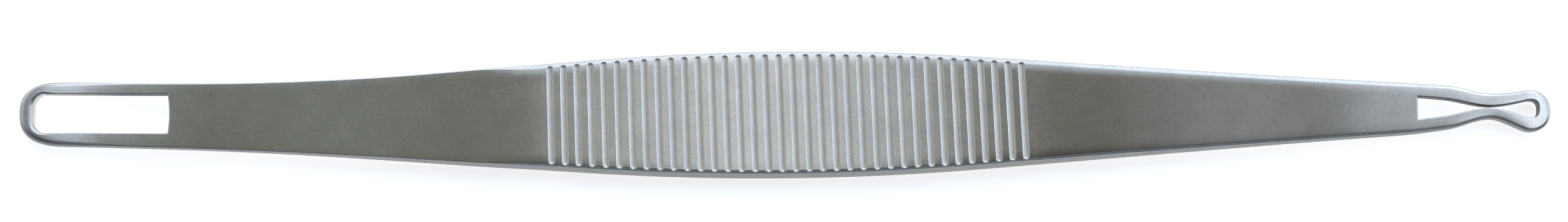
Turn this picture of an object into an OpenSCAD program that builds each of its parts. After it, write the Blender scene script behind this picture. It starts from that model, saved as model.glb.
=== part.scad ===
// Double-ended blackhead extractor: a flat steel tool with a long loop at one end,
// a pinched teardrop eye at the other and a grooved belly between them to hold it by.
// Lengths are in millimetres. X runs along the tool towards the small eye, Y across it,
// and Z up out of the front face. The tool lies on the flat back of its grip, at Z = 0.

/* [Overall] */
// Length from tip to tip
tool_len = 95; // [80:1:112]
// Thickness at the grip
grip_t = 2.2; // [1.9:0.1:2.8]
// Thickness of both looped ends
loop_t = 1; // [0.9:0.05:1.3]
// Rounding along the long edges of the grip and of the small end's shank
edge_r = 0.32; // [0.15:0.01:0.4]
// Air under both tips when the tool lies on its back
tip_clear = 0.1; // [0.05:0.05:0.3]

/* [Grip] */
// Width across the middle of the belly
belly_w = 7.74; // [7.1:0.02:8.6]
// Radius of the belly's two long edges
belly_r = 167; // [150:1:190]
// Number of grooves across each face
groove_count = 36; // [24:1:38]
// Distance from one groove to the next
groove_pitch = 0.836; // [0.72:0.002:0.86]
// Where the middle of the grooved stretch lies, measured from the middle of the tool
groove_mid = 0.23; // [-1:0.01:1]
// Radius of the ball-nosed cutter that runs the grooves
groove_r = 0.27; // [0.2:0.01:0.32]
// Depth of the grooves
groove_depth = 0.17; // [0.08:0.01:0.2]
// Plain metal between the end of a groove and the long edge
groove_margin = 0.17; // [0.1:0.01:0.5]
// Slant of the grooves halfway along, from square across the tool
groove_slant = 1.75; // [0:0.05:3]
// How much more the last groove slants than the first
groove_fan = 1.4; // [0:0.1:2]
// Plain flat from the outermost groove to the end of the grip
grip_end = 0.7; // [0.6:0.05:1.5]

/* [Large loop and its shank] */
// Width over the two limbs of the loop
large_w = 4; // [3.7:0.02:4.4]
// Angle of the straight flank that leaves the belly
large_flank = 4.15; // [3.9:0.05:4.6]
// Radius that eases the flank into the loop
large_ease_r = 279; // [200:1:300]
// Length of the window
large_window_len = 8.35; // [7:0.05:9]
// Width of the window
large_window_w = 2.42; // [2:0.02:2.5]
// How far the window's handle end sits to one side of the middle line
large_window_skew = 0.12; // [0:0.01:0.15]
// Radius of the window's two corners at the tip
large_corner_r = 0.8; // [0.4:0.02:1]
// How far the window's other end bulges towards the handle
large_bulge = 0.1; // [0:0.02:0.2]
// Metal at the tip, between the window and the skin
large_tip_wall = 0.9; // [0.7:0.02:1.1]
// Length over which the tip rounds off
large_tip_len = 2.9; // [2.4:0.1:3.2]
// Length over which the loop bends to the back
large_bend_len = 5.4; // [5:0.2:8]
// Rounding along the edges of this shank and the limbs, which are nearly sharp
large_edge_r = 0.08; // [0.05:0.01:0.3]
// Length over which that grows to the grip's rounding
edge_fade = 4; // [2:0.5:8]
// Rounding round the outside of the tip
large_tip_edge_r = 0.42; // [0.2:0.01:0.43]
// Rounding of the window's rim along the limbs
large_rim_r = 0.06; // [0.03:0.01:0.12]
// Rounding of that rim round the tip, where it presses on skin
tip_rim_r = 0.24; // [0.12:0.02:0.3]
// How far the tip leans to one side, as it was straightened by hand
large_lean = 0.56; // [0:0.02:0.8]
// Where that lean begins, measured from the middle of the tool
lean_start = 22; // [18:1:28]

/* [Small loop and its shank] */
// Angle of the flank where it leaves the belly
small_flank = 4.3; // [4:0.05:4.6]
// Width where the shank meets the small loop
small_root_w = 3.33; // [3.2:0.01:3.5]
// Width of each limb beside the three-cornered window
limb_w = 0.84; // [0.75:0.01:0.9]
// Width of each limb at the waist
waist_limb_w = 0.72; // [0.6:0.01:0.78]
// Width of the limb where it is bent round the eye
eye_limb_w = 0.73; // [0.6:0.01:0.8]
// Narrow gap between the limbs at the waist
waist_gap = 0.16; // [0.1:0.01:0.2]
// How far that gap sits to the other side of the limbs' middle
waist_shift = 0.06; // [0:0.01:0.08]
// Clear width of the eye
eye_w = 1.1; // [0.9:0.02:1.3]
// How far the eye's hole sits to one side of the limb's middle
eye_shift = 0.12; // [0:0.01:0.15]
// Rounding round the outside of the waist and the eye
eye_edge_r = 0.2; // [0.1:0.01:0.3]
// From the tip to the waist, where the limbs all but touch
waist_back = 3.75; // [3.5:0.05:4.2]
// From the tip to the shoulder, where the limbs turn in
shoulder_back = 6.5; // [6.2:0.1:7]
// Width over both limbs at the shoulder
shoulder_w = 2.74; // [2.65:0.01:2.9]
// From the tip to the straight end of the three-cornered window
window_back = 8.25; // [7.9:0.05:8.5]
// How far the waist leans to the side that the large tip leans to
waist_lean = 0.12; // [0:0.02:0.2]
// How far the eye leans back to the other side
eye_lean = 0.3; // [0:0.02:0.4]
// Length over which the small end bends to the back
small_bend_len = 13.5; // [10:0.5:16]

/* [Hidden] */

brushed = [0.62, 0.63, 0.62];
satin = [0.72, 0.73, 0.72];
polished = [0.82, 0.84, 0.86];

// Metal between a window and the joint with the shank
root_web = 1.4;
// Squareness of the rounded tips: 2 is an ellipse, more is squarer
large_square = 2.6;
eye_square = 2.4;
// Steps round one rounded edge and one rim, along a shank, round a tip and along a limb
edge_steps = 4;
rim_steps = 3;
shank_steps = 16;
tip_steps = 12;
limb_steps = 7;
corner_steps = 6;
// A cutter runs this far past what it cuts
past = 1;

tip_x = tool_len / 2;
grip_len = (groove_count - 1) * groove_pitch + 2 * grip_end;
grip_x0 = groove_mid - grip_len / 2;
grip_x1 = groove_mid + grip_len / 2;
large_window_x0 = -tip_x + large_tip_wall;
large_window_x1 = large_window_x0 + large_window_len;
large_root_x = large_window_x1 + root_web;
small_window_x = tip_x - window_back;
small_root_x = small_window_x - root_web;
shoulder_x = tip_x - shoulder_back;
waist_x = tip_x - waist_back;
eye_r = (eye_w + eye_limb_w) / 2;
eye_x = tip_x - eye_limb_w / 2 - eye_r;
tip_drop = (grip_t - loop_t) / 2 - tip_clear;

// Ends of the belly's arcs, and the straight and eased stretches that follow them
large_arc = [belly_r * sin(large_flank), belly_w / 2 - belly_r * (1 - cos(large_flank))];
small_arc = [belly_r * sin(small_flank), belly_w / 2 - belly_r * (1 - cos(small_flank))];
ease_drop = large_ease_r * (1 - cos(large_flank));
ease_x0 = large_arc[0] + (large_arc[1] - large_w / 2 - ease_drop) / tan(large_flank);
ease_x1 = ease_x0 + large_ease_r * sin(large_flank);
small_run = small_root_x - small_arc[0];
small_hollow = (small_root_w / 2 - small_arc[1] + tan(small_flank) * small_run) / pow(small_run, 2);

function clamp01(u) = min(1, max(0, u));
function smooth(u) = let(v = clamp01(u)) v * v * (3 - 2 * v);
function mix(a, b, u) = a + (b - a) * u;

// Half width of the tool at a place along it: belly arc, flank, then the ease to the loop
function belly_half(d) = belly_w / 2 - belly_r + sqrt(pow(belly_r, 2) - d * d);
function large_half(d) =
    d < large_arc[0] ? belly_half(d)
    : d < ease_x0 ? large_arc[1] - (d - large_arc[0]) * tan(large_flank)
    : d < ease_x1 ? large_w / 2 + large_ease_r - sqrt(pow(large_ease_r, 2) - pow(ease_x1 - d, 2))
    : large_w / 2;
function small_half(d) =
    let(run = d - small_arc[0])
    run < 0 ? belly_half(d) : small_arc[1] - run * tan(small_flank) + small_hollow * run * run;
function half_w(x) = x < 0 ? large_half(-x) : small_half(x);

// Half thickness: parallel along the grip, then easing down to each loop
function half_t(x) =
    let(u = x < groove_mid ? (grip_x0 - x) / (grip_x0 - large_root_x)
                           : (x - grip_x1) / (small_root_x - grip_x1))
    mix(grip_t, loop_t, smooth(u)) / 2;

// Sideways lean of the middle line
function lean(x) =
    large_lean * pow(clamp01((-x - lean_start) / (tip_x - lean_start)), 1.5)
    + waist_lean * smooth((x - small_root_x) / (waist_x - small_root_x))
    - eye_lean * smooth((x - waist_x) / (eye_x - waist_x));

// The middle surface falls towards both tips on a parabola. A point of the tool is placed by its
// distance along the tool, its distance across, and its height square to that surface.
function place(x, y, height) =
    let(bend_len = x < 0 ? large_bend_len : small_bend_len, u = clamp01((abs(x) - tip_x) / bend_len + 1),
        slope = -sign(x) * 2 * tip_drop * u / bend_len, n = norm([slope, 1]))
    [x - slope * height / n, y + lean(x), grip_t / 2 - tip_drop * u * u + height / n];

// Edge rounding: nearly sharp along the large shank, growing to its own value at that tip,
// softer on the grip and the small shank, and less again from the waist on
function large_edge(x) =
    let(along = mix(large_edge_r, edge_r, smooth((x - grip_x0) / edge_fade + 1)))
    mix(along, large_tip_edge_r, smooth((large_root_x - x) / (tip_x + large_root_x)));
function small_edge(x) = mix(edge_r, eye_edge_r, smooth((x - small_root_x) / (waist_x - small_root_x)));
function edge(x) = min(x < 0 ? large_edge(x) : small_edge(x), 0.9 * half_t(x));

// Rim rounding of the large window
function rim(x) = mix(tip_rim_r, large_rim_r, smooth((x - large_window_x0) / large_corner_r / 2));

// One side of a cross-section, from the back face round the rounded edge to the front face.
// side is [x, y, outward x, outward y] of the outline before the lean.
function side_points(side) = [
    for (front = [-1, 1], i = [0 : edge_steps])
        let(x = side[0], r = edge(x), turn = 90 * (front < 0 ? i / edge_steps - 1 : i / edge_steps),
            inset = r * (1 - cos(turn)))
        place(x - side[2] * inset, side[1] - side[3] * inset, front * (half_t(x) - r) + r * sin(turn))
];
function other_side(side) = [side[0], -side[1], side[2], -side[3]];
function backwards(list) = [for (i = [len(list) - 1 : -1 : 0]) list[i]];
function ring(side) = concat(side_points(side), backwards(side_points(other_side(side))));

// Skin over a row of cross-sections. A blunt end is a flat face, a nose is closed edge to edge.
module skin(sides, nose_first = false, nose_last = false) {
    m = 4 * (edge_steps + 1);
    last = (len(sides) - 1) * m;
    points = [for (s = sides) each ring(s)];
    walls = [
        for (i = [0 : len(sides) - 2], j = [0 : m - 1])
            let(a = i * m + j, b = i * m + (j + 1) % m)
            each [[a, b, b + m], [a, b + m, a + m]]
    ];
    first_face = nose_first
        ? [for (j = [0 : m / 2 - 2]) each [[j, m - 1 - j, m - 2 - j], [j, m - 2 - j, j + 1]]]
        : [[for (j = [m - 1 : -1 : 0]) j]];
    last_face = nose_last
        ? [for (j = [0 : m / 2 - 2])
            each [[last + j, last + j + 1, last + m - 2 - j], [last + j, last + m - 2 - j, last + m - 1 - j]]]
        : [[for (j = [0 : m - 1]) last + j]];
    polyhedron(points, concat(walls, first_face, last_face));
}

// Straight cross-sections of the handle from one place to another
function shank_sides(x0, x1) = [
    for (i = [0 : shank_steps]) let(x = mix(x0, x1, i / shank_steps)) [x, half_w(x), 0, 1]
];

// A groove: the path of a ball-nosed cutter that starts and stops inside the edges
module groove(i, front) {
    x = groove_mid + (i - (groove_count - 1) / 2) * groove_pitch;
    slant = groove_slant + groove_fan * (i / (groove_count - 1) - 0.5);
    reach = half_w(x) - groove_margin - sqrt(pow(groove_r, 2) - pow(groove_r - groove_depth, 2));
    height = groove_r - groove_depth;
    translate([x, 0, front ? grip_t + height : -height])
    rotate([90, 0, slant])
    rotate_extrude($fn = 24)
    intersection() {
        union() {
            square([2 * groove_r, 2 * reach], center = true);
            for (end = [-reach, reach]) translate([0, end]) circle(groove_r, $fn = 24);
        }
        translate([0, -2 * belly_w]) square([groove_r, 4 * belly_w]);
    }
}

module grip() {
    color(satin)
    difference() {
        skin(shank_sides(grip_x0, grip_x1));
        for (i = [0 : groove_count - 1]) groove(i, true);
        for (i = [0 : groove_count - 1]) groove(i, false);
    }
}

module large_shank() {
    color(brushed) skin(shank_sides(large_root_x, grip_x0));
}

module small_shank() {
    color(brushed) skin(shank_sides(grip_x1, small_root_x));
}

// Turn round a tip, in steps that are closest together at its point
function tip_turn(i) = 90 * pow(i / tip_steps, 1.5);

// Outline of the large loop from its tip to the shank: a squared ellipse, then the limbs
function large_tip_side(turn) =
    let(u = pow(cos(turn), 2 / large_square), v = pow(sin(turn), 2 / large_square),
        x = -tip_x + large_tip_len * (1 - u), nx = -pow(u, large_square - 1) / large_tip_len,
        ny = pow(v, large_square - 1) / half_w(x), n = norm([nx, ny]))
    [x, half_w(x) * v, nx / n, ny / n];
large_sides = concat(
    [for (i = [1 : tip_steps]) large_tip_side(tip_turn(i))],
    [for (i = [1 : limb_steps])
        let(x = mix(-tip_x + large_tip_len, large_root_x, i / limb_steps)) [x, half_w(x), 0, 1]]
);

// Window of the large loop: rounded at the tip, bulging and sharp-cornered at the handle
large_window_half = large_window_w / 2;
large_corner = [large_window_x0 + large_corner_r, large_window_half - large_corner_r];
large_window_outline = concat(
    [for (i = [0 : 2 * corner_steps])
        let(across = i / corner_steps - 1, out = abs(across) < 1 ? 0 : across)
        [large_window_x1 + large_bulge * (1 - across * across), across * large_window_half, 1, out]],
    [for (end = [0, 1], i = [0 : corner_steps])
        let(turn = 90 + 90 * (end + i / corner_steps))
        [large_corner[0] + large_corner_r * cos(turn),
         (1 - 2 * end) * large_corner[1] + large_corner_r * sin(turn), cos(turn), sin(turn)]]
);
large_window_points = [
    for (p = large_window_outline)
        [p[0], p[1] + large_window_skew * (p[0] - large_window_x0) / large_window_len, p[2], p[3]]
];

// Cut a window square to the metal, right through it. Each point of the outline is
// [x, y, outward x, outward y]. A rimmed window also has both of its rims rounded.
module window(outline, rimmed = false) {
    m = len(outline);
    rim_turns = [for (i = [0 : rim_steps]) 90 * i / rim_steps];
    levels = rimmed
        ? concat(
            [[-1, 90, past]], [for (turn = backwards(rim_turns)) [-1, turn, 0]],
            [for (turn = rim_turns) [1, turn, 0]], [[1, 90, past]])
        : [[-1, 90, past], [1, 90, past]];
    points = [
        for (level = levels, p = outline)
            let(r = rimmed ? rim(p[0]) : 0, out = r * (1 - cos(level[1])))
            place(p[0] + p[2] * out, p[1] + p[3] * out,
                level[0] * (loop_t / 2 - r * (1 - sin(level[1])) + level[2]))
    ];
    last = (len(levels) - 1) * m;
    walls = [
        for (a = [0 : m : last - m], i = [0 : m - 1])
            let(j = (i + 1) % m)
            each [[a + j, a + i, a + i + m], [a + j, a + i + m, a + j + m]]
    ];
    polyhedron(points, concat(walls, [[for (i = [0 : m - 1]) i], [for (i = [m - 1 : -1 : 0]) last + i]]));
}

module large_loop() {
    color(polished)
    difference() {
        skin(large_sides, nose_first = true);
        window(large_window_points, rimmed = true);
    }
}

// Middle line of the limb: from the shank to the shoulder, in to the waist, out round the eye.
// Each stretch is a cubic between two places with a slope at each.
function cubic(a, b, slope_a, slope_b, t) =
    let(run = b[0] - a[0], s = 1 - t,
        y = a[1] * (1 + 2 * t) * s * s + b[1] * t * t * (3 - 2 * t)
            + run * (slope_a * t * s * s - slope_b * t * t * s),
        slope = 6 * t * s * (b[1] - a[1]) / run + slope_a * s * (1 - 3 * t) + slope_b * t * (3 * t - 2),
        n = norm([slope, 1]))
    [a[0] + run * t, y, -slope / n, 1 / n];
function eye_side(turn) =
    turn > 90 ? [eye_x + eye_r * cos(turn), eye_r * sin(turn), cos(turn), sin(turn)]
    : let(u = pow(cos(turn), 2 / eye_square), v = pow(sin(turn), 2 / eye_square),
          nx = pow(u, eye_square - 1), ny = pow(v, eye_square - 1), n = norm([nx, ny]))
      [eye_x + eye_r * u, eye_r * v, nx / n, ny / n];

root_slope = 2 * small_hollow * small_run - tan(small_flank);
shoulder_slope = -0.11;
eye_slope = 0.25;
eye_turn = 90 + atan(eye_slope);
eye_start = eye_side(eye_turn);
root_pt = [small_root_x, (small_root_w - limb_w) / 2];
shoulder_pt = [shoulder_x, (shoulder_w - limb_w) / 2];
waist_pt = [waist_x, (waist_gap + limb_width(waist_x)) / 2];
limb_line = concat(
    [for (i = [0 : limb_steps - 1]) cubic(root_pt, shoulder_pt, root_slope, shoulder_slope, i / limb_steps)],
    [for (i = [0 : limb_steps - 1]) cubic(shoulder_pt, waist_pt, shoulder_slope, 0, i / limb_steps)],
    [for (i = [0 : limb_steps - 1]) cubic(waist_pt, eye_start, 0, eye_slope, i / limb_steps)],
    [for (i = [0 : 2]) eye_side(mix(eye_turn, 90, i / 2))],
    [for (i = [tip_steps - 1 : -1 : 1]) eye_side(tip_turn(i))]
);
function limb_width(x) =
    x < waist_x ? mix(limb_w, waist_limb_w, smooth((x - shoulder_x) / (waist_x - shoulder_x)))
                : mix(waist_limb_w, eye_limb_w, smooth((x - waist_x) / (eye_x - waist_x)));
small_sides = [
    for (p = limb_line)
        let(out = p[0] > small_root_x ? [p[2], p[3]] : [0, 1], half = limb_width(p[0]) / 2)
        [p[0] + out[0] * half, p[1] + out[1] * half, out[0], out[1]]
];

// Inside of the limbs: the three-cornered window, the narrow gap at the waist and the eye
inside_line = [
    for (p = limb_line)
        let(half = limb_width(p[0]) / 2, x = p[0] - p[2] * half, y = max(waist_gap / 2, p[1] - p[3] * half))
        if (x > small_window_x + 0.2) [x, y, p[2], p[3]]
];
window_half = inside_line[0][1] - (inside_line[0][0] - small_window_x) * root_slope;
small_window_half = concat([[small_window_x, window_half, -1, 1]], inside_line);
small_window_points = concat(
    [for (p = small_window_half) [p[0], -p[1] + hole_shift(p[0]), p[2], -p[3]]],
    backwards([for (p = small_window_half) [p[0], p[1] + hole_shift(p[0]), p[2], p[3]]])
);
function hole_shift(x) =
    x < waist_x ? -waist_shift * smooth((x - small_window_x) / (waist_x - small_window_x))
                : mix(-waist_shift, eye_shift, smooth((x - waist_x) / (eye_x - waist_x)));

module small_loop() {
    color(polished)
    difference() {
        skin(small_sides, nose_last = true);
        window(small_window_points);
    }
}

grip();
large_shank();
small_shank();
large_loop();
small_loop();
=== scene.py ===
# %% [markdown]
# A blackhead extractor is one strip of stainless steel. It is pierced, pressed, ground flat and
# polished, and it has a long slot at one end, a pinched teardrop eye at the other and grooves
# across its belly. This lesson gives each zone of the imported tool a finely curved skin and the
# finish that the maker's wheels leave on it. Lengths are worked out in millimetres, as on a
# drawing, and turned into metres only where a point is placed.

from math import atan, cos, hypot, pi, radians, sin, sqrt, tan

import bmesh
import bpy
from mathutils import Matrix, Vector


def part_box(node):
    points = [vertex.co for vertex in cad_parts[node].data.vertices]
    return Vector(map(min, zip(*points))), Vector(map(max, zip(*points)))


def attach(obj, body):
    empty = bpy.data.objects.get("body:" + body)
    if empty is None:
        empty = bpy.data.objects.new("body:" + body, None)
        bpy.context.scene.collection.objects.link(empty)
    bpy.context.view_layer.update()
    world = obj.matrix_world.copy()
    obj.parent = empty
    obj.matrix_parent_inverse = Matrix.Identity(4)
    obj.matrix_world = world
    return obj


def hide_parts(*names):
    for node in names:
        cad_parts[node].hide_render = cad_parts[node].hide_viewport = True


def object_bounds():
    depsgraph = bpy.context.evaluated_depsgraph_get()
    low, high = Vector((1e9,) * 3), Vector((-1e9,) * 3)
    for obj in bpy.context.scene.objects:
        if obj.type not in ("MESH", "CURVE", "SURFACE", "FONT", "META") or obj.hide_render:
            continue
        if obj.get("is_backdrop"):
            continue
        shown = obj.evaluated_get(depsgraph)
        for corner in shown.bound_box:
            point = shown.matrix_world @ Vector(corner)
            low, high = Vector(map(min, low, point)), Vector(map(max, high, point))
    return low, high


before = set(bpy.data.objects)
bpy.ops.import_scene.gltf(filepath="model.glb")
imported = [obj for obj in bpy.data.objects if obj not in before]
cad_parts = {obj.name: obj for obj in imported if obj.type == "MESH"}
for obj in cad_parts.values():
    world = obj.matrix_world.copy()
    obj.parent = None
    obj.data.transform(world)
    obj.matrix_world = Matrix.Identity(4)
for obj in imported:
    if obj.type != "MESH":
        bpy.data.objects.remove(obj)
cad_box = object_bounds()
MM = 0.001


def span(node, axis):
    low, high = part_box(node)
    return low[axis] / MM, high[axis] / MM


GRIP_X0, GRIP_X1 = span("grip", 0)
LARGE_ROOT = span("large_shank", 0)[0]
SMALL_ROOT = span("small_shank", 0)[1]
BELLY_W = 2 * span("grip", 1)[1]
GRIP_T = span("grip", 2)[1]
print("grip from", round(GRIP_X0, 3), "to", round(GRIP_X1, 3), "belly", round(BELLY_W, 3))

# %% [markdown]
# The outline of such a tool is a belly with two long arcs, a straight flank to each side of it
# and an ease into each loop. It could be drawn by hand as a curve, but a formula keeps both
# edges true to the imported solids. The middle surface falls towards both tips, and every point
# is set square to it, so that the loops are bent and not sheared.

# %% The outline and the bend
TIP_X = 47.49
LOOP_T = 1.0
TIP_CLEAR = 0.1
TIP_DROP = (GRIP_T - LOOP_T) / 2 - TIP_CLEAR
BELLY_R = 167
LARGE_W = 4.0
LARGE_FLANK = radians(4.15)
LARGE_EASE_R = 279
LARGE_BEND = 5.4
LARGE_LEAN = 0.56
LEAN_START = 22
SMALL_FLANK = radians(4.3)
SMALL_ROOT_W = 3.33
SMALL_BEND = 13.5
WAIST_X = TIP_X - 3.75
SHOULDER_X = TIP_X - 6.5
WAIST_LEAN = 0.12
EYE_LEAN = 0.3
EDGE_R = 0.32
LARGE_EDGE_R = 0.08
EDGE_FADE = 4
LARGE_TIP_EDGE_R = 0.42
EYE_EDGE_R = 0.2
EYE_W = 1.1
EYE_LIMB_W = 0.73
EYE_R = (EYE_W + EYE_LIMB_W) / 2
EYE_X = TIP_X - EYE_LIMB_W / 2 - EYE_R

LARGE_ARC = (BELLY_R * sin(LARGE_FLANK), BELLY_W / 2 - BELLY_R * (1 - cos(LARGE_FLANK)))
SMALL_ARC = (BELLY_R * sin(SMALL_FLANK), BELLY_W / 2 - BELLY_R * (1 - cos(SMALL_FLANK)))
EASE_DROP = LARGE_EASE_R * (1 - cos(LARGE_FLANK))
EASE_X0 = LARGE_ARC[0] + (LARGE_ARC[1] - LARGE_W / 2 - EASE_DROP) / tan(LARGE_FLANK)
EASE_X1 = EASE_X0 + LARGE_EASE_R * sin(LARGE_FLANK)
SMALL_RUN = SMALL_ROOT - SMALL_ARC[0]
SMALL_HOLLOW = (SMALL_ROOT_W / 2 - SMALL_ARC[1] + tan(SMALL_FLANK) * SMALL_RUN) / SMALL_RUN**2


def clamp01(u):
    return min(1.0, max(0.0, u))


def smooth(u):
    v = clamp01(u)
    return v * v * (3 - 2 * v)


def mix(a, b, u):
    return a + (b - a) * u


def half_w(x):
    d = abs(x)
    if x < 0:
        if d > EASE_X1:
            return LARGE_W / 2
        if d > EASE_X0:
            return LARGE_W / 2 + LARGE_EASE_R - sqrt(LARGE_EASE_R**2 - (EASE_X1 - d) ** 2)
        if d > LARGE_ARC[0]:
            return LARGE_ARC[1] - (d - LARGE_ARC[0]) * tan(LARGE_FLANK)
    elif d > SMALL_ARC[0]:
        run = d - SMALL_ARC[0]
        return SMALL_ARC[1] - run * tan(SMALL_FLANK) + SMALL_HOLLOW * run * run
    return BELLY_W / 2 - BELLY_R + sqrt(BELLY_R**2 - d * d)


def half_t(x):
    if x < 0:
        u = (GRIP_X0 - x) / (GRIP_X0 - LARGE_ROOT)
    else:
        u = (x - GRIP_X1) / (SMALL_ROOT - GRIP_X1)
    return mix(GRIP_T, LOOP_T, smooth(u)) / 2


def lean(x):
    large = LARGE_LEAN * clamp01((-x - LEAN_START) / (TIP_X - LEAN_START)) ** 1.5
    waist = WAIST_LEAN * smooth((x - SMALL_ROOT) / (WAIST_X - SMALL_ROOT))
    return large + waist - EYE_LEAN * smooth((x - WAIST_X) / (EYE_X - WAIST_X))


def edge(x):
    if x < 0:
        along = mix(LARGE_EDGE_R, EDGE_R, smooth((x - GRIP_X0) / EDGE_FADE + 1))
        r = mix(along, LARGE_TIP_EDGE_R, smooth((LARGE_ROOT - x) / (TIP_X + LARGE_ROOT)) ** 2)
    else:
        r = mix(EDGE_R, EYE_EDGE_R, smooth((x - SMALL_ROOT) / (WAIST_X - SMALL_ROOT)))
    return min(r, 0.9 * half_t(x))


def place(x, y, height):
    bend = LARGE_BEND if x < 0 else SMALL_BEND
    u = clamp01((abs(x) - TIP_X) / bend + 1)
    slope = (1 if x < 0 else -1) * 2 * TIP_DROP * u / bend
    n = hypot(slope, 1)
    z = GRIP_T / 2 - TIP_DROP * u * u + height / n
    return Vector((x - slope * height / n, y + lean(x), z)) * MM


print("half widths", [round(half_w(x), 2) for x in (LARGE_ROOT, -20, 0, 20, SMALL_ROOT)])

# %% [markdown]
# A skin round a long bar could be a bevelled box, but the width, the thickness and the edge
# rounding all change along this one. So a flat grid is rolled up: its columns become places
# along the tool and its rows go once round the section. The welded seam vanishes, and open ends
# are filled flat, where the next zone of the same steel butts on.

# %% Rolling a grid into a skin
WELD = 1e-4 * MM
SHARP = radians(50)


def rolled(name, columns, rows, point, fill_ends=False, finish=None):
    """point(i, j) places the grid's corner at column i and row j, and finish(i, j) numbers the
    material of the face there."""
    bm = bmesh.new()
    bmesh.ops.create_grid(bm, x_segments=columns, y_segments=rows, size=0.5)
    for face in bm.faces:
        centre = face.calc_center_median()
        i, j = int((centre.x + 0.5) * columns), int((centre.y + 0.5) * rows)
        face.material_index = finish(i, j) if finish else 0
    for v in bm.verts:
        v.co = point(round((v.co.x + 0.5) * columns), round((v.co.y + 0.5) * rows))
    bmesh.ops.remove_doubles(bm, verts=bm.verts, dist=WELD)
    bmesh.ops.dissolve_degenerate(bm, edges=bm.edges, dist=WELD)
    if fill_ends:
        rims = [e for e in bm.edges if e.is_boundary]
        bmesh.ops.holes_fill(bm, edges=rims, sides=0)
    bmesh.ops.recalc_face_normals(bm, faces=bm.faces)
    for face in bm.faces:
        face.smooth = True
    for e in bm.edges:
        e.smooth = e.calc_face_angle(pi) < SHARP
    volume = bm.calc_volume(signed=True) / MM**3
    loose = sum(1 for e in bm.edges if not e.is_manifold)
    mesh = bpy.data.meshes.new(name)
    bm.to_mesh(mesh)
    bm.free()
    piece = bpy.data.objects.new(name, mesh)
    bpy.context.scene.collection.objects.link(piece)
    print(name, len(mesh.polygons), "faces", round(volume, 2), "mm3, open edges", loose)
    return piece


# %% [markdown]
# One section of the bar has flat faces, flat sides and four rounded edges. It is drawn as a
# quarter, from the middle of a side over the rounded edge to the middle of a face, and mirrored.
# The rows lie closer together near the edge, where the grooves of the grip will end. The belt is
# soft, so the face falls by up to two hundredths of a millimetre before the rounded edge. The
# fall goes with the edge's radius, and it is drawn stronger on the small loop's narrow limbs.

# %% One section of the bar
EDGE_ROWS = 8
FACE_ROWS = 14
CROWN = 0.015
CROWN_W = 0.5
SMALL_CROWN = 1.6
SMALL_CROWN_RUN = 3
FACE_CLOSER = 2.2


def crown(x, inward):
    """How far the face has fallen at x, this far inward from where the rounding begins."""
    u = clamp01(1 - inward / CROWN_W)
    more = mix(1, SMALL_CROWN, smooth((x - SMALL_ROOT) / SMALL_CROWN_RUN))
    return CROWN * edge(x) / EDGE_R * more * u * u


def section(x):
    half, thick, r = half_w(x), half_t(x), edge(x)
    low = thick - crown(x, 0)
    quarter = [(half, 0.0)]
    for k in range(EDGE_ROWS + 1):
        turn = pi / 2 * k / EDGE_ROWS
        quarter.append((half - r * (1 - cos(turn)), low - r * (1 - sin(turn))))
    for k in range(1, FACE_ROWS + 1):
        inward = (half - r) * (k / FACE_ROWS) ** FACE_CLOSER
        quarter.append((half - r - inward, thick - crown(x, inward)))
    front = quarter + [(-y, h) for y, h in reversed(quarter[:-1])]
    back = [(y, -h) for y, h in reversed(front)]
    return front + back[1:]


SECTION_ROWS = len(section(0.0)) - 1
print("rows round a section:", SECTION_ROWS)

# %% [markdown]
# The two shanks are plain tapering flats. Sixty columns along each keep the long hollow curves
# smooth in the reflections, which show a facet long before the outline does.

# %% The two shanks
SHANK_COLUMNS = 60


def shank(name, x0, x1):
    xs = [mix(x0, x1, i / SHANK_COLUMNS) for i in range(SHANK_COLUMNS + 1)]
    rings = [section(x) for x in xs]

    def point(i, j):
        return place(xs[i], rings[i][j][0], rings[i][j][1])

    return rolled(name, SHANK_COLUMNS, SECTION_ROWS, point, fill_ends=True)


large_shank = shank("large_shank_skin", LARGE_ROOT, GRIP_X0)
small_shank = shank("small_shank_skin", GRIP_X1, SMALL_ROOT)

# %% [markdown]
# The grooves are run across both faces with a ball-nosed cutter that stops inside the edges.
# Cutting 72 rounded slots with booleans would leave slivers, so the rolled grid carries them:
# its columns follow each groove's slant, and its points sink to the cutter's path. A soft
# minimum wears the rims a little, as the last buffing does.

# %% The groove pattern
GROOVE_COUNT = 36
GROOVE_PITCH = 0.836
GROOVE_MID = 0.17
GROOVE_R = 0.25
GROOVE_DEPTH = 0.1
GROOVE_MARGIN = 0.17
GROOVE_SLANT = 1.75
GROOVE_FAN = 1.4
RIM_WEAR = 0.012
MOUTH = sqrt(GROOVE_R**2 - (GROOVE_R - GROOVE_DEPTH) ** 2)


def groove_x(i):
    return GROOVE_MID + (i - (GROOVE_COUNT - 1) / 2) * GROOVE_PITCH


def groove_slant(i):
    return radians(GROOVE_SLANT + GROOVE_FAN * (i / (GROOVE_COUNT - 1) - 0.5))


def soft_min(a, b, wear):
    u = clamp01(0.5 + 0.5 * (b - a) / wear)
    return mix(b, a, u) - wear * u * (1 - u)


def cutter_height(i, x, y):
    """Height of the cutter's path over the face, at a point near groove i."""
    slant = groove_slant(i)
    across = (x - groove_x(i)) * cos(slant) + y * sin(slant)
    along = y * cos(slant) - (x - groove_x(i)) * sin(slant)
    reach = half_w(groove_x(i)) - GROOVE_MARGIN - MOUTH
    off = hypot(across, max(0.0, abs(along) - reach))
    centre = GROOVE_R - GROOVE_DEPTH
    if off >= GROOVE_R:
        return centre + off - GROOVE_R
    return centre - sqrt(GROOVE_R**2 - off * off)


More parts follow.
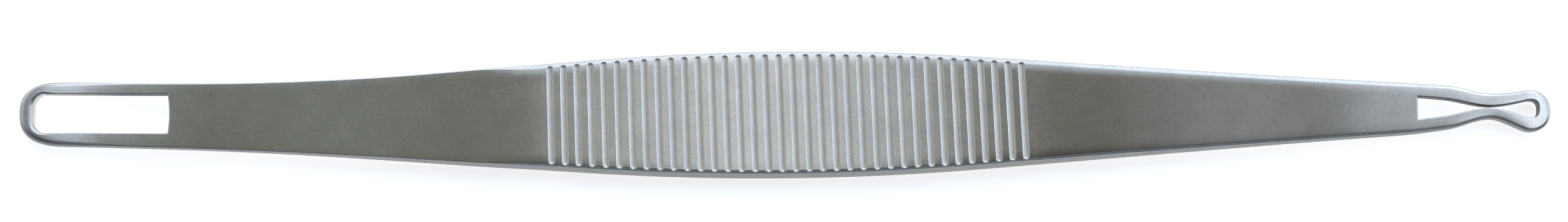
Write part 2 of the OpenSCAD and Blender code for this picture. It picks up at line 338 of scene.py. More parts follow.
def grip_columns():
    """Places along the grip as (x, slant, nearest groove), close together in each groove."""
    steps = [k / 6 * MOUTH for k in range(-6, 7)]
    steps = [-GROOVE_PITCH / 2, -MOUTH * 1.1, -MOUTH * 1.05] + steps + [MOUTH * 1.05, MOUTH * 1.1]
    columns = [(GRIP_X0, 0.0, 0)]
    for i in range(GROOVE_COUNT):
        for step in steps[1 if i == 0 else 0:]:
            slant = groove_slant(i - 0.5 if step == steps[0] else i)
            columns.append((groove_x(i) + step, slant, i))
    return columns + [(GRIP_X1, 0.0, GROOVE_COUNT - 1)]


# %% [markdown]
# The grip is rolled from the same grid as the shanks, with each column slanted like the groove
# nearest to it. A point on a face goes down wherever the cutter's path lies below it.

# %% The grip
def make_grip():
    columns = grip_columns()
    rings = [section(c[0]) for c in columns]

    def point(i, j):
        x, slant, near = columns[i]
        y, height = rings[i][j]
        moved = x - y * tan(slant)
        y *= half_w(moved) / half_w(x)
        if abs(height) > GRIP_T / 2 - EDGE_R and x not in (GRIP_X0, GRIP_X1):
            floor = GRIP_T / 2 + cutter_height(near, moved, y)
            sunk = soft_min(abs(height), floor, RIM_WEAR)
            height = sunk if height > 0 else -sunk
        return place(moved, y, height)

    return rolled("grip_skin", len(columns) - 1, SECTION_ROWS, point, fill_ends=True)


grip = make_grip()

# %% [markdown]
# A loop is a bar that comes back to where it started, so the grid is rolled up both ways and
# closes on itself like a ring. Each station of the loop has a point on the outside outline, one
# on the window's outline, and the direction to go in from each. The stations that cross the web
# have their outside point on the flat joint with the shank.

# %% One station of a loop
RIM_ROWS = 4
TOP_STEPS = (0.015, 0.1, 0.2, 0.35, 0.5, 0.65, 0.8, 0.9, 0.985, 1.0)


def loop_section(station):
    """Points round one section of a loop, from the middle of its outside over the front face,
    down through the window and back along the back face."""
    (ox, oy), (ux, uy), (ix, iy), (wx, wy), rim, web = station
    r, thick = edge(ox), LOOP_T / 2
    x0, y0 = (ox, oy) if web else (ox - ux * r, oy - uy * r)

    def top(x, y):
        inward = (x0 - x) * ux + (y0 - y) * uy
        if ox in (LARGE_ROOT, SMALL_ROOT):
            inward = half_w(x) - edge(x) - abs(y)
        return thick - crown(ox, inward)

    low = top(x0, y0)
    front = [(ox, oy, 0.0)]
    for k in range(EDGE_ROWS + 1):
        turn = pi / 2 * k / EDGE_ROWS
        inset = 0.0 if web else r * (1 - cos(turn))
        front.append((ox - ux * inset, oy - uy * inset, low - r * (1 - sin(turn))))
    x1, y1 = ix + wx * rim, iy + wy * rim
    for u in TOP_STEPS:
        x, y = mix(x0, x1, u), mix(y0, y1, u)
        front.append((x, y, top(x, y)))
    low = top(x1, y1)
    for k in range(1, RIM_ROWS + 1):
        turn = pi / 2 * k / RIM_ROWS
        inset = rim * (1 - sin(turn))
        front.append((ix + wx * inset, iy + wy * inset, low - rim * (1 - cos(turn))))
    front.append((ix, iy, 0.0))
    back = [(x, y, -height) for x, y, height in reversed(front)]
    return front + back[1:]


WALL_ROW = EDGE_ROWS + 1 + len(TOP_STEPS) + RIM_ROWS
POLISHED_TO = -45.7
print("the window's wall takes rows", WALL_ROW, "and", WALL_ROW + 1)


def make_loop(name, half_stations, shift, rim):
    """half_stations run from the middle of the web to the tip, on the side where y is above 0.
    shift(x) moves the window sideways there, and rim(x) is the rounding of its rim."""
    stations = []
    for outside, out, inside, way, web in half_stations:
        x, y = inside
        stations.append((outside, out, (x, y + shift(x)), way, rim(x), web))
    for outside, out, inside, way, web in reversed(half_stations[1:-1]):
        x, y = inside
        other_out, other_way = (out[0], -out[1]), (way[0], -way[1])
        other = ((outside[0], -outside[1]), other_out, (x, shift(x) - y), other_way, rim(x), web)
        stations.append(other)
    stations.append(stations[0])
    rings = [loop_section(s) for s in stations]

    def point(i, j):
        return place(*rings[i][j])

    def finish(i, j):
        at_tip = stations[i][2][0] <= POLISHED_TO
        if j in (WALL_ROW, WALL_ROW + 1):
            return 2 if at_tip else 1
        return 2 if at_tip and WALL_ROW - RIM_ROWS <= j <= WALL_ROW + 1 + RIM_ROWS else 0

    return rolled(name, len(stations) - 1, len(rings[0]) - 1, point, finish=finish)


# %% [markdown]
# The large loop is a slot. Its tip is a squared ellipse outside, while the slot has two rounded
# corners at the tip, two sharp ones at the handle and a handle end that bulges a little, where
# the piercing punch was rounded. Outside and inside share one count of stations.

# %% The large loop
WINDOW_X0 = -TIP_X + 0.9
WINDOW_X1 = WINDOW_X0 + 8.35
WINDOW_HALF = 1.21
WINDOW_SKEW = 0.12
CORNER_R = 0.8
BULGE = 0.1
TIP_LEN = 2.9
TIP_SQUARE = 2.6
RIM_R = 0.06
TIP_RIM_R = 0.24
WEB_STEPS = 4
WEB_CLEAR = 1.35
LIMB_STEPS = 30
TIP_STEPS = 36
CORNER_STEPS = 24
STRAIGHT_STEPS = TIP_STEPS - CORNER_STEPS
TIP_CLOSER = 1.3


def squared(turn, length, half, power):
    """A point and outward direction on a squared ellipse, turn 0 at the tip, pi/2 at the side."""
    u, v = cos(turn) ** (2 / power), sin(turn) ** (2 / power)
    nx, ny = u ** (power - 1) / length, v ** (power - 1) / half
    n = hypot(nx, ny)
    return (length * u, half * v), (nx / n, ny / n)


def web_ys(half, r):
    return [k / WEB_STEPS * (half - WEB_CLEAR * r) for k in range(WEB_STEPS + 1)]


def skew(x):
    return WINDOW_SKEW * (x - WINDOW_X0) / (WINDOW_X1 - WINDOW_X0)


def large_rim(x):
    return mix(TIP_RIM_R, RIM_R, smooth((x - WINDOW_X0) / CORNER_R / 2))


def large_half():
    made = []
    root_half = half_w(LARGE_ROOT)

    ys = web_ys(root_half, edge(LARGE_ROOT))
    for y in ys:
        across = y / root_half
        x = WINDOW_X1 + BULGE * (1 - across * across)
        made.append(((LARGE_ROOT, y), (0, 1), (x, across * WINDOW_HALF), (1, 0), True))
    corner = (WINDOW_X1, WINDOW_HALF)
    made.append(((LARGE_ROOT, root_half), (0, 1), corner, (1, 1), False))
    limb_x0, limb_x1 = -TIP_X + TIP_LEN, WINDOW_X0 + CORNER_R
    for k in range(1, LIMB_STEPS + 1):
        u = k / LIMB_STEPS
        x, inner_x = mix(LARGE_ROOT, limb_x0, u), mix(WINDOW_X1, limb_x1, u)
        made.append(((x, half_w(x)), (0, 1), (inner_x, WINDOW_HALF), (0, 1), False))
    for k in range(1, TIP_STEPS + 1):
        turn = pi / 2 * (1 - k / TIP_STEPS) ** TIP_CLOSER
        (fx, fy), (nx, ny) = squared(turn, TIP_LEN, half_w(-TIP_X), TIP_SQUARE)
        bend = clamp01(k / CORNER_STEPS)
        corner_turn = pi / 2 * (1 - bend)
        inside = (limb_x1 - CORNER_R * cos(corner_turn),
                  WINDOW_HALF - CORNER_R * (1 - sin(corner_turn)))
        way = (-cos(corner_turn), sin(corner_turn))
        if k > CORNER_STEPS:
            inside = (WINDOW_X0, (WINDOW_HALF - CORNER_R) * (TIP_STEPS - k) / STRAIGHT_STEPS)
        made.append(((limb_x0 - fx, fy), (-nx, ny), inside, way, False))
    return made


large_loop = make_loop("large_loop_skin", large_half(), skew, large_rim)

# %% [markdown]
# The small loop is the hard one. A single limb line runs out of the shank, turns in at the
# shoulder until the two limbs all but touch at the waist, and opens again round the teardrop
# eye. Both outlines are set off from that line by half the limb's width, which is how the
# pressed metal flows, and the window is shifted a little, as the limbs aren't equally wide.

# %% The limb line of the small loop
SMALL_WINDOW_X = TIP_X - 8.25
LIMB_W = 0.84
WAIST_LIMB_W = 0.72
WAIST_GAP = 0.12
WAIST_SHIFT = 0.06
EYE_SHIFT = 0.12
SHOULDER_W = 2.74
SHOULDER_SLOPE = -0.11
EYE_SLOPE = 0.25
EYE_SQUARE = 2.4
HOLLOW_STEPS = 20
WAIST_STEPS = 24
THROAT_STEPS = 20
TURN_STEPS = 4
EYE_STEPS = 30
ROOT_SLOPE = 2 * SMALL_HOLLOW * SMALL_RUN - tan(SMALL_FLANK)
EYE_TURN = pi / 2 + atan(EYE_SLOPE)


def limb_width(x):
    if x < WAIST_X:
        return mix(LIMB_W, WAIST_LIMB_W, smooth((x - SHOULDER_X) / (WAIST_X - SHOULDER_X)))
    return mix(WAIST_LIMB_W, EYE_LIMB_W, smooth((x - WAIST_X) / (EYE_X - WAIST_X)))


def hole_shift(x):
    if x < WAIST_X:
        return -WAIST_SHIFT * smooth((x - SMALL_WINDOW_X) / (WAIST_X - SMALL_WINDOW_X))
    return mix(-WAIST_SHIFT, EYE_SHIFT, smooth((x - WAIST_X) / (EYE_X - WAIST_X)))


def cubic(a, b, slope_a, slope_b, t):
    run, s = b[0] - a[0], 1 - t
    y = a[1] * (1 + 2 * t) * s * s + b[1] * t * t * (3 - 2 * t)
    y += run * (slope_a * t * s * s - slope_b * t * t * s)
    slope = 6 * t * s * (b[1] - a[1]) / run + slope_a * s * (1 - 3 * t) + slope_b * t * (3 * t - 2)
    n = hypot(slope, 1)
    return (a[0] + run * t, y), (-slope / n, 1 / n)


def eye_side(turn):
    if turn > pi / 2:
        return (EYE_X + EYE_R * cos(turn), EYE_R * sin(turn)), (cos(turn), sin(turn))
    (fx, fy), way = squared(turn, EYE_R, EYE_R, EYE_SQUARE)
    return (EYE_X + fx, fy), way


ROOT_PT = (SMALL_ROOT, (SMALL_ROOT_W - LIMB_W) / 2)
SHOULDER_PT = (SHOULDER_X, (SHOULDER_W - LIMB_W) / 2)
WAIST_PT = (WAIST_X, (WAIST_GAP + WAIST_LIMB_W) / 2)
EYE_START = eye_side(EYE_TURN)[0]
print("limb line through", [[round(c, 2) for c in p] for p in (ROOT_PT, SHOULDER_PT, WAIST_PT)])

# %% [markdown]
# Outside and window are read off that line, station by station: across the web at the shank,
# along the two hollow limbs, through the waist and round the eye to the tip.

# %% The small loop
def outside_of(at):
    (x, y), (nx, ny) = at
    half = limb_width(x) / 2
    return (x + nx * half, y + ny * half), (nx, ny)


def inside_of(at):
    (x, y), (nx, ny) = at
    half = limb_width(x) / 2
    inner_x = x - nx * half
    return (inner_x, max(WAIST_GAP / 2, y - ny * half)), (nx, ny)


def small_half():
    made = []
    root_half = SMALL_ROOT_W / 2
    start = (SMALL_WINDOW_X - SMALL_ROOT) / (SHOULDER_X - SMALL_ROOT)
    line = cubic(ROOT_PT, SHOULDER_PT, ROOT_SLOPE, SHOULDER_SLOPE, start)
    window_half = inside_of(line)[0][1]
    for y in web_ys(root_half, edge(SMALL_ROOT)):
        inside = (SMALL_WINDOW_X, y / root_half * window_half)
        made.append(((SMALL_ROOT, y), (0, 1), inside, (-1, 0), True))
    corner = (SMALL_WINDOW_X, window_half)
    made.append(((SMALL_ROOT, root_half), (0, 1), corner, (-1, 1), False))
    for k in range(1, HOLLOW_STEPS + 1):
        u = k / HOLLOW_STEPS
        at = cubic(ROOT_PT, SHOULDER_PT, ROOT_SLOPE, SHOULDER_SLOPE, u)
        inner = cubic(ROOT_PT, SHOULDER_PT, ROOT_SLOPE, SHOULDER_SLOPE, mix(start, 1, u))
        outside, out = outside_of(at)
        inside, way = inside_of(inner)
        made.append((outside, out, inside, way, False))
    stretch = [cubic(SHOULDER_PT, WAIST_PT, SHOULDER_SLOPE, 0, k / WAIST_STEPS)
               for k in range(1, WAIST_STEPS + 1)]
    stretch += [cubic(WAIST_PT, EYE_START, 0, EYE_SLOPE, k / THROAT_STEPS)
                for k in range(1, THROAT_STEPS)]
    stretch += [eye_side(mix(EYE_TURN, pi / 2, k / TURN_STEPS)) for k in range(TURN_STEPS + 1)]
    stretch += [eye_side(pi / 2 * (1 - k / EYE_STEPS) ** TIP_CLOSER)
                for k in range(1, EYE_STEPS + 1)]
    for at in stretch:
        outside, out = outside_of(at)
        inside, way = inside_of(at)
        if inside[0] > EYE_X and at[0][1] < 1e-6:
            inside = (inside[0], 0.0)
        made.append((outside, out, inside, way, False))
    return made


SMALL_RIM_R = 0.07
small_loop = make_loop("small_loop_skin", small_half(), hole_shift, lambda x: SMALL_RIM_R)

# %% [markdown]
# Each skin stands for the solid of its own zone and rides on the one body of the tool.

# %% Each skin takes its solid's place
SKINS = {
    "grip": (grip, "satin_steel"),
    "large_shank": (large_shank, "brushed_steel"),
    "small_shank": (small_shank, "brushed_steel"),
    "large_loop": (large_loop, "polished_steel"),
    "small_loop": (small_loop, "polished_steel"),
}
for node, (piece, slot) in SKINS.items():
    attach(piece, "root")
    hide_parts(node)
print("skins:", ", ".join(piece.name for piece, _ in SKINS.values()))

# %% [markdown]
# Colours are written as the sRGB hex values that a paint chart or a photograph gives, and turned
# to the linear values that the renderer adds up. One small function adds a node.

# %% Colour and node helpers
STEEL = "C9C9C5"


def hex_colour(code):
    linear = []
    for k in (0, 2, 4):
        c = int(code[k:k + 2], 16) / 255
        linear.append(c / 12.92 if c <= 0.04045 else ((c + 0.055) / 1.055) ** 2.4)
    return (*linear, 1.0)


def add(tree, kind, sockets=None, **settings):
    """Adds a node. sockets maps an input to a value or to the output that feeds it."""
    node = tree.nodes.new(kind)
    for name, value in settings.items():
        setattr(node, name, value)
    for name, value in (sockets or {}).items():
        if isinstance(value, bpy.types.NodeSocket):
            tree.links.new(value, node.inputs[name])
        else:
            node.inputs[name].default_value = value
    return node


def calc(tree, operation, *values):
    """Adds a sum of one, two or three values and returns its result."""
    return add(tree, "ShaderNodeMath", dict(enumerate(values)), operation=operation).outputs[0]


print("stainless steel", [round(c, 3) for c in hex_colour(STEEL)])

# %% [markdown]
# The steel is taken as 13 % chromium stainless, grey with a slight warmth and a faint mottle.
# One colour does for every face, apart from painted shade on the sides, and what differs is the
# finish. Belts left fine scratches along the tool, and a soft wheel has halved their depth in the
# loops. They are drawn 0.05 mm wide and 0.8 mm long, because finer ones fall between the picture's
# dots. Where the small shank runs into its loop a coarser belt went over it again, and the large
# loop gets duller towards its tip. The sides are told from the faces by their normals and drawn
# rougher, and their colour is darkened as painted shade, most on the near side.

# %% Steel finishes
SCRATCH_W = 0.05 * MM
SCRATCH_LEN = 0.8 * MM
SCRATCH_DEEP = 0.0003 * MM
SCRATCH_BUFFED = 0.00015 * MM
GRAIN = 0.09 * MM
CLOUD = 1.6 * MM
# The sides are rougher, and their colour is darkened as painted shade, more on the near side.
SIDE_ROUGH = 0.5
SIDE_PAINTED_SHADE = 0.5
SIDE_TURN = 0.15
SIDE_STARTS = (0.7, 0.85)
SIDE_WHOLE = (0.35, 0.6)
SIDE_SHIFTS = (38 * MM, 44 * MM)
FACE_ROUGH = 0.1
SCRATCH_SWING = 0.03
CLOUD_SWING = 0.06
GRAIN_SWING = 0.08
GROUND_FROM = GRIP_T / 2 - 0.012
GROUND_TO = GRIP_T / 2 - 0.06
BUFFED_FROM = 34 * MM
BUFFED_TO = 42 * MM
TIP_SOFT_FROM = -36 * MM
TIP_SOFT_TO = -45.5 * MM
TIP_ROUGH = 0.26
MOTTLE = 0.3 * MM
BRUSHED_FROM = 32.5 * MM
BRUSHED_FULL = 37 * MM
BRUSHED_FADE = 40 * MM
BRUSHED_TO = 44 * MM
BRUSHED_ROUGH = 0.12
BRUSHED_DEEP = 0.0008 * MM


def ranged(tree, value, low, high, to_low, to_high, **settings):
    node = add(tree, "ShaderNodeMapRange", {
        "Value": value, "From Min": low, "From Max": high, "To Min": to_low, "To Max": to_high,
    }, **settings)
    return node.outputs[0]


def swung(tree, noise, swing):
    """Turns a noise, which mostly lies between 0.3 and 0.7, into a factor around 1."""
    return ranged(tree, noise, 0.3, 0.7, 1 - swing, 1 + swing)


def steel(name, colour, roughness, grooved=False, sides=True):
    material = bpy.data.materials.new(name)
    material.use_nodes = True
    tree = material.node_tree
    tree.nodes.clear()
    spot = add(tree, "ShaderNodeTexCoord").outputs["Object"]
    stretched = add(tree, "ShaderNodeMapping", {
        "Vector": spot, "Scale": (1 / SCRATCH_LEN, 1 / SCRATCH_W, 1 / SCRATCH_W),
    }).outputs[0]
    scratches = add(tree, "ShaderNodeTexNoise", {
        "Vector": stretched, "Scale": 1.0, "Detail": 3.0, "Roughness": 0.6,
    }).outputs["Fac"]
    clouds = add(tree, "ShaderNodeTexNoise", {
        "Vector": spot, "Scale": 1 / CLOUD, "Detail": 4.0,
    }).outputs["Fac"]
    grains = add(tree, "ShaderNodeTexNoise", {
        "Vector": spot, "Scale": 1 / GRAIN, "Detail": 2.0,
    }).outputs["Fac"]
    tone = swung(tree, scratches, SCRATCH_SWING)
    for noise, swing in ((clouds, CLOUD_SWING), (grains, GRAIN_SWING)):
        tone = calc(tree, "MULTIPLY", tone, swung(tree, noise, swing))
    base = add(tree, "ShaderNodeVectorMath", {0: hex_colour(colour)[:3], "Scale": tone},
               operation="SCALE").outputs[0]
    mottle = add(tree, "ShaderNodeTexNoise", {
        "Vector": spot, "Scale": 1 / MOTTLE, "Detail": 2.0,
    }).outputs["Color"]
    mottle = add(tree, "ShaderNodeVectorMath", {0: mottle, 1: (0.2, 0.2, 0.2), 2: (0.9, 0.9, 0.9)},
                 operation="MULTIPLY_ADD").outputs[0]
    base = add(tree, "ShaderNodeVectorMath", {0: base, 1: mottle}, operation="MULTIPLY").outputs[0]
    normal = add(tree, "ShaderNodeNewGeometry").outputs["Normal"]
    normal = add(tree, "ShaderNodeSeparateXYZ", {0: normal}).outputs
    upright = calc(tree, "ABSOLUTE", normal["Z"])
    upright = calc(tree, "MULTIPLY_ADD", normal["Y"], SIDE_TURN, upright)
    along = add(tree, "ShaderNodeSeparateXYZ", {0: spot}).outputs["X"]
    away = calc(tree, "ABSOLUTE", along)
    side = 0.0
    if sides:
        steep_from = ranged(tree, away, *SIDE_SHIFTS, *SIDE_STARTS)
        steep_to = ranged(tree, away, *SIDE_SHIFTS, *SIDE_WHOLE)
        side = ranged(tree, upright, steep_from, steep_to, 0.0, 1.0)
    metal = 1.0
    face = ranged(tree, along, TIP_SOFT_FROM, TIP_SOFT_TO, roughness, TIP_ROUGH)
    brushed = ranged(tree, along, BRUSHED_FROM, BRUSHED_FULL, 0.0, 1.0)
    fades = ranged(tree, along, BRUSHED_FADE, BRUSHED_TO, 1.0, 0.0)
    brushed = calc(tree, "MULTIPLY", brushed, fades)
    face = calc(tree, "MULTIPLY_ADD", brushed, BRUSHED_ROUGH, face)
    rough = ranged(tree, side, 0.0, 1.0, face, SIDE_ROUGH)
    # Painted shade: the colour of the sides is scaled down here.
    side_shade_paint = ranged(tree, side, 0.0, 1.0, 1.0, SIDE_PAINTED_SHADE)
    base = add(tree, "ShaderNodeVectorMath", {0: base, "Scale": side_shade_paint},
               operation="SCALE").outputs[0]
    if grooved:
        base, rough, metal = in_grooves(tree, spot, side, base, rough)
    depth = ranged(tree, away, BUFFED_FROM, BUFFED_TO, SCRATCH_DEEP, SCRATCH_BUFFED)
    depth = calc(tree, "MULTIPLY_ADD", brushed, BRUSHED_DEEP, depth)
    bump = add(tree, "ShaderNodeBump", {
        "Height": scratches, "Strength": 1.0, "Distance": depth,
    }).outputs[0]
    shader = add(tree, "ShaderNodeBsdfPrincipled", {
        "Base Color": base, "Metallic": metal, "Roughness": rough, "Normal": bump,
    })
    add(tree, "ShaderNodeOutputMaterial", {"Surface": shader.outputs[0]})
    return material


# %% [markdown]
# The cutter leaves the grooves duller than the lands, so their reflections are blurred. Buffing
# compound stays behind in them, on the walls that face the large loop. It is tan and patchy, and
# it isn't metal, so a noise drawn out along the grooves lets it show here and there.

# %% Inside the grooves
RESIDUE_LEN = 0.9 * MM
RESIDUE_W = 0.16 * MM
GROOVE_ROUGH = 0.38
RESIDUE = "E2CBAA"
RESIDUE_WALL = (-0.05, -0.25, 0.0, 1.0)
RESIDUE_THICK = (0.36, 0.66, 0.25, 0.9)
RESIDUE_METAL = 0.15


def in_grooves(tree, spot, side, base, rough):
    lifted = add(tree, "ShaderNodeSeparateXYZ", {0: spot}).outputs["Z"]
    lifted = calc(tree, "SUBTRACT", lifted, GRIP_T / 2 * MM)
    height = calc(tree, "ABSOLUTE", lifted)
    sunk = ranged(tree, height, GROUND_FROM * MM, GROUND_TO * MM, 0.0, 1.0)
    sunk = add(tree, "ShaderNodeMath", {0: sunk, 1: side}, operation="SUBTRACT",
               use_clamp=True).outputs[0]
    facing = add(tree, "ShaderNodeNewGeometry").outputs["Normal"]
    left = add(tree, "ShaderNodeSeparateXYZ", {0: facing}).outputs["X"]
    wall = ranged(tree, left, *RESIDUE_WALL)
    wall = calc(tree, "MULTIPLY", wall, sunk)
    drawn = add(tree, "ShaderNodeMapping", {
        "Vector": spot, "Scale": (1 / RESIDUE_W, 1 / RESIDUE_LEN, 1 / RESIDUE_W),
    }).outputs[0]
    patches = add(tree, "ShaderNodeTexNoise", {
        "Vector": drawn, "Scale": 1.0, "Detail": 3.0,
    }).outputs["Fac"]
    thick = ranged(tree, patches, *RESIDUE_THICK)
    amount = calc(tree, "MULTIPLY", wall, thick)
    colour = add(tree, "ShaderNodeMix", {
        "Factor": amount, "A": base, "B": hex_colour(RESIDUE),
    }, data_type="RGBA").outputs["Result"]
    dull = add(tree, "ShaderNodeMix", {"Factor": sunk, "A": rough, "B": GROOVE_ROUGH})
    metal = ranged(tree, amount, 0.0, 1.0, 1.0, RESIDUE_METAL)
    return colour, dull.outputs["Result"], metal


FINISHES = {
    "satin_steel": steel("satin_ground_stainless_steel", STEEL, FACE_ROUGH, grooved=True),
    "brushed_steel": steel("lengthwise_brushed_stainless_steel", STEEL, FACE_ROUGH),
    "polished_steel": steel("wheel_polished_stainless_steel", STEEL, FACE_ROUGH),
}
for piece, slot in SKINS.values():
    piece.data.materials.append(FINISHES[slot])
print("finishes:", ", ".join(m.name for m in FINISHES.values()))

# %% [markdown]
# The walls of both windows were pierced by a punch and never reached by a wheel, so they are
# dull. Their colour is painted dark as shade, which draws the far walls as dark lines in the
# picture. Only the wall and its rims in the tip of the large loop, which works on the skin, are
# polished by hand, and the painted shade on the walls fades gradually towards them.

# %% Pierced walls
TORN = 0.12 * MM
TORN_DEEP = 0.01 * MM
# The walls' dark colour is painted shade.
SHADED_WALL_STEEL = "505156"
TORN_SWING = 0.2
TORN_ROUGH = 0.45
WALL_SHADE_ENDS = -41.5
HAND_ROUGH = 0.2


def pierced():
    material = bpy.data.materials.new("as_pierced_steel_painted_shade")
    material.use_nodes = True
    tree = material.node_tree
    tree.nodes.clear()
    spot = add(tree, "ShaderNodeTexCoord").outputs["Object"]
    torn = add(tree, "ShaderNodeTexNoise", {
        "Vector": spot, "Scale": 1 / TORN, "Detail": 3.0,
    }).outputs["Fac"]
    tone = swung(tree, torn, TORN_SWING)
    along = add(tree, "ShaderNodeSeparateXYZ", {0: spot}).outputs["X"]
    # Painted shade on the walls, fading to plain steel colour towards the large loop's tip.
    unshaded = ranged(tree, along, WALL_SHADE_ENDS * MM, POLISHED_TO * MM, 0.0, 1.0)
    colour = add(tree, "ShaderNodeMix", {
        "Factor": unshaded, "A": hex_colour(SHADED_WALL_STEEL), "B": hex_colour(STEEL),
    }, data_type="RGBA").outputs["Result"]
    base = add(tree, "ShaderNodeVectorMath", {0: colour, "Scale": tone},
               operation="SCALE").outputs[0]
    bump = add(tree, "ShaderNodeBump", {
        "Height": torn, "Strength": 1.0, "Distance": TORN_DEEP,
    }).outputs[0]
    shader = add(tree, "ShaderNodeBsdfPrincipled", {
        "Base Color": base, "Metallic": 1.0, "Roughness": TORN_ROUGH, "Normal": bump,
    })
    add(tree, "ShaderNodeOutputMaterial", {"Surface": shader.outputs[0]})
    return material


WALLS = pierced()
HAND = steel("hand_polished_stainless_steel", STEEL, HAND_ROUGH, sides=False)
for piece in (large_loop, small_loop):
    piece.data.materials.append(WALLS)
    piece.data.materials.append(HAND)
print("walls:", WALLS.name, "and", HAND.name)

# %% [markdown]
# The tool lies on a plain white sheet that fills the frame. The sheet takes the tool's shadow.
# A light of its own, which only the camera, mirrors and glass see, lifts it to the paper white
# of a catalogue picture.

# %% The sheet
FLOOR_HALF = 6.0
FLOOR_SINK = 0.02 * MM
PAPER_LIFT = 0.66
PAPER = "FAFAFA"


def make_floor():
    bm = bmesh.new()
    bmesh.ops.create_grid(bm, x_segments=1, y_segments=1, size=FLOOR_HALF)
    bmesh.ops.translate(bm, verts=bm.verts, vec=(0, 0, -FLOOR_SINK))
    mesh = bpy.data.meshes.new("sheet")
    bm.to_mesh(mesh)
    bm.free()
    sheet = bpy.data.objects.new("sheet", mesh)
    bpy.context.scene.collection.objects.link(sheet)
    sheet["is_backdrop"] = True
    material = bpy.data.materials.new("white_paper")
    material.use_nodes = True
    tree = material.node_tree
    tree.nodes.clear()
    paper = add(tree, "ShaderNodeBsdfDiffuse", {"Color": hex_colour(PAPER)})
    rays = add(tree, "ShaderNodeLightPath").outputs
    seen = calc(tree, "ADD", rays["Is Camera Ray"], rays["Is Glossy Ray"])
    seen = add(tree, "ShaderNodeMath", {0: seen, 1: rays["Is Transmission Ray"]},
               operation="ADD", use_clamp=True).outputs[0]
    lift = calc(tree, "MULTIPLY", seen, PAPER_LIFT)
    glow = add(tree, "ShaderNodeEmission", {"Color": (1, 1, 1, 1), "Strength": lift})
    both = add(tree, "ShaderNodeAddShader", {0: paper.outputs[0], 1: glow.outputs[0]})
    add(tree, "ShaderNodeOutputMaterial", {"Surface": both.outputs[0]})
    mesh.materials.append(material)
    return sheet


print("sheet", make_floor().name, "of", 2 * FLOOR_HALF, "m")

# %% [markdown]
# Polished metal has no look of its own: it shows the room. This room is a white tent with a wide
# dark gap right above, which the camera looks through, and a narrow strip of light hangs in the
# gap. So the flats, which face the gap, come out grey, the middle of the grip catches the strip,
# and every rounded edge, groove wall and bent limb that turns away from both shows the tent. Its
# walls are brighter to the right and at the back, and dim on the near side. A place in the tent
# is a direction of length 1, given by its part along the tool, X, and its part across it, Y.
# Each change of light is four numbers: where it starts, where it ends, and the level at both.
# A lamp has three: where it starts, where it is full, and the light that it adds.

# %% The tent
LEFT_WALL = (-0.52, -0.3, 0.34, 1.3)
LAMPS = ((-0.6, -0.8, 0.5), (0.17, 0.27, 0.45), (0.33, 0.45, -0.65), (0.75, 0.95, 0.6))
NEAR_WALL = (-0.3, 0.12, 0.18, 1.0)
BACK_WALL = (0.32, 0.6, 0.0, 0.3)
WALLS_COLOUR = "E6F0FF"
GAP_RIGHT = (0.08, 0.26, 0.0, 1.0)
GAP_RIGHT_POWER = 2.4
GAP_LEFT = (-0.165, -0.25, 0.0, 0.9)
GAP_ACROSS = ((0.14, 0.32, 0.0, 1.0), (-0.25, -0.45, 0.0, 1.0))
GAP_TURN = (-0.05, 0.02, 0.0, 1.0)
GAP_COLOURS = ("83867E", "72706A")
GAP_SHADE = (0.0, 0.11, 0.5, 1.0)
GAP_PALER = (0.04, 0.07, 1.0, 1.15)
STRIP_X, STRIP_Y = -0.0035, 0.12
STRIP_HALF = (0.022, 0.0275, 0.9, 0.0)
STRIP_REACH = (0.2, 0.3, 1.0, 0.0)
STRIP_COLOUR = "F2F6FF"

world = bpy.data.worlds.new("tent")
bpy.context.scene.world = world
world.use_nodes = True


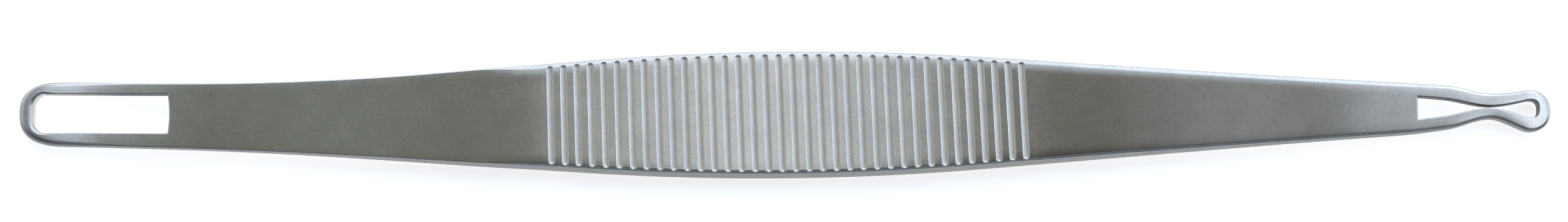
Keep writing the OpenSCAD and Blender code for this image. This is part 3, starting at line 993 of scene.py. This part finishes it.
def light_tent(tree):
    tree.nodes.clear()
    way = add(tree, "ShaderNodeTexCoord").outputs["Generated"]
    axes = add(tree, "ShaderNodeSeparateXYZ", {0: way}).outputs
    along = ranged(tree, axes["X"], *LEFT_WALL, interpolation_type="SMOOTHSTEP")
    for near, far, more in LAMPS:
        lamp = ranged(tree, axes["X"], near, far, 0.0, more)
        along = calc(tree, "ADD", along, lamp)
    across = ranged(tree, axes["Y"], *NEAR_WALL, interpolation_type="SMOOTHSTEP")
    behind = ranged(tree, axes["Y"], *BACK_WALL)
    across = calc(tree, "ADD", across, behind)
    wall = calc(tree, "MULTIPLY", along, across)
    white = add(tree, "ShaderNodeVectorMath", {0: hex_colour(WALLS_COLOUR)[:3], "Scale": wall},
                operation="SCALE").outputs[0]
    right = ranged(tree, axes["X"], *GAP_RIGHT)
    right = calc(tree, "POWER", right, GAP_RIGHT_POWER)
    left = ranged(tree, axes["X"], *GAP_LEFT, interpolation_type="SMOOTHSTEP")
    out = calc(tree, "MAXIMUM", right, left)
    for change in GAP_ACROSS:
        beyond = ranged(tree, axes["Y"], *change)
        out = calc(tree, "MAXIMUM", out, beyond)
    turned = ranged(tree, axes["X"], *GAP_TURN)
    opening = add(tree, "ShaderNodeMix", {
        "Factor": turned, "A": hex_colour(GAP_COLOURS[0]), "B": hex_colour(GAP_COLOURS[1]),
    }, data_type="RGBA").outputs["Result"]
    shade = ranged(tree, axes["Y"], *GAP_SHADE)
    paler = ranged(tree, axes["X"], *GAP_PALER)
    shade = calc(tree, "MULTIPLY", shade, paler)
    opening = add(tree, "ShaderNodeVectorMath", {0: opening, "Scale": shade},
                  operation="SCALE").outputs[0]
    seen = add(tree, "ShaderNodeMix", {"Factor": out, "A": opening, "B": white},
               data_type="RGBA").outputs["Result"]
    aside = calc(tree, "SUBTRACT", axes["X"], STRIP_X)
    aside = calc(tree, "ABSOLUTE", aside)
    strip = ranged(tree, aside, *STRIP_HALF, interpolation_type="SMOOTHSTEP")
    past = calc(tree, "SUBTRACT", axes["Y"], STRIP_Y)
    past = calc(tree, "ABSOLUTE", past)
    ends = ranged(tree, past, *STRIP_REACH)
    strip = calc(tree, "MULTIPLY", strip, ends)
    glow = add(tree, "ShaderNodeVectorMath", {0: hex_colour(STRIP_COLOUR)[:3], "Scale": strip},
               operation="SCALE").outputs[0]
    both = add(tree, "ShaderNodeVectorMath", {0: seen, 1: glow}, operation="ADD").outputs[0]
    light = add(tree, "ShaderNodeBackground", {"Color": both, "Strength": 1.0})
    add(tree, "ShaderNodeOutputWorld", {"Surface": light.outputs[0]})


light_tent(world.node_tree)
print("tent of", len(world.node_tree.nodes), "nodes")

# %% [markdown]
# The picture fits a lens about 350 mm away, almost straight above: 7 degrees to the near side,
# which shows a little of the windows' far walls. The tool lies half a degree askew.

# %% The camera
IMAGE_W = 2576
DISTANCE = 350 * MM
TILT = radians(7)
ROLL = radians(0.56)
MM_PER_PIXEL = 0.03776
SENSOR = 36.0
SHIFT_RIGHT = 0.95
SHIFT_DOWN = 6.6

target = Vector((0, 0, 1.1)) * MM
forward = Vector((0, sin(TILT), -cos(TILT)))
flat_right, flat_up = Vector((1, 0, 0)), Vector((0, cos(TILT), sin(TILT)))
right = flat_right * cos(ROLL) - flat_up * sin(ROLL)
up = flat_right * sin(ROLL) + flat_up * cos(ROLL)
camera_data = bpy.data.cameras.new("camera")
camera_data.sensor_width = SENSOR
camera_data.lens = SENSOR * DISTANCE / (IMAGE_W * MM_PER_PIXEL * MM)
camera_data.shift_x = -SHIFT_RIGHT / IMAGE_W
camera_data.shift_y = SHIFT_DOWN / IMAGE_W
camera_data.clip_start = 0.01
camera = bpy.data.objects.new("camera", camera_data)
bpy.context.scene.collection.objects.link(camera)
axes = Matrix((right, up, -forward)).transposed().to_4x4()
camera.matrix_world = Matrix.Translation(target - forward * DISTANCE) @ axes
bpy.context.scene.camera = camera
bpy.context.scene.view_settings.view_transform = "Standard"
print("lens", round(camera_data.lens, 2), "mm")

# %% [markdown]
# Both boxes, the imported tool's and the dressed one's, are printed side by side. The
# skins may not stick out of the imported tool.

# %% The box of the dressed tool beside the imported one
bpy.context.view_layer.update()
sizes = {"cad": [list(c) for c in cad_box], "visual": [list(c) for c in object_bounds()]}
for name, (low, high) in sizes.items():
    print(name, [round(c / MM, 3) for c in low], [round(c / MM, 3) for c in high])
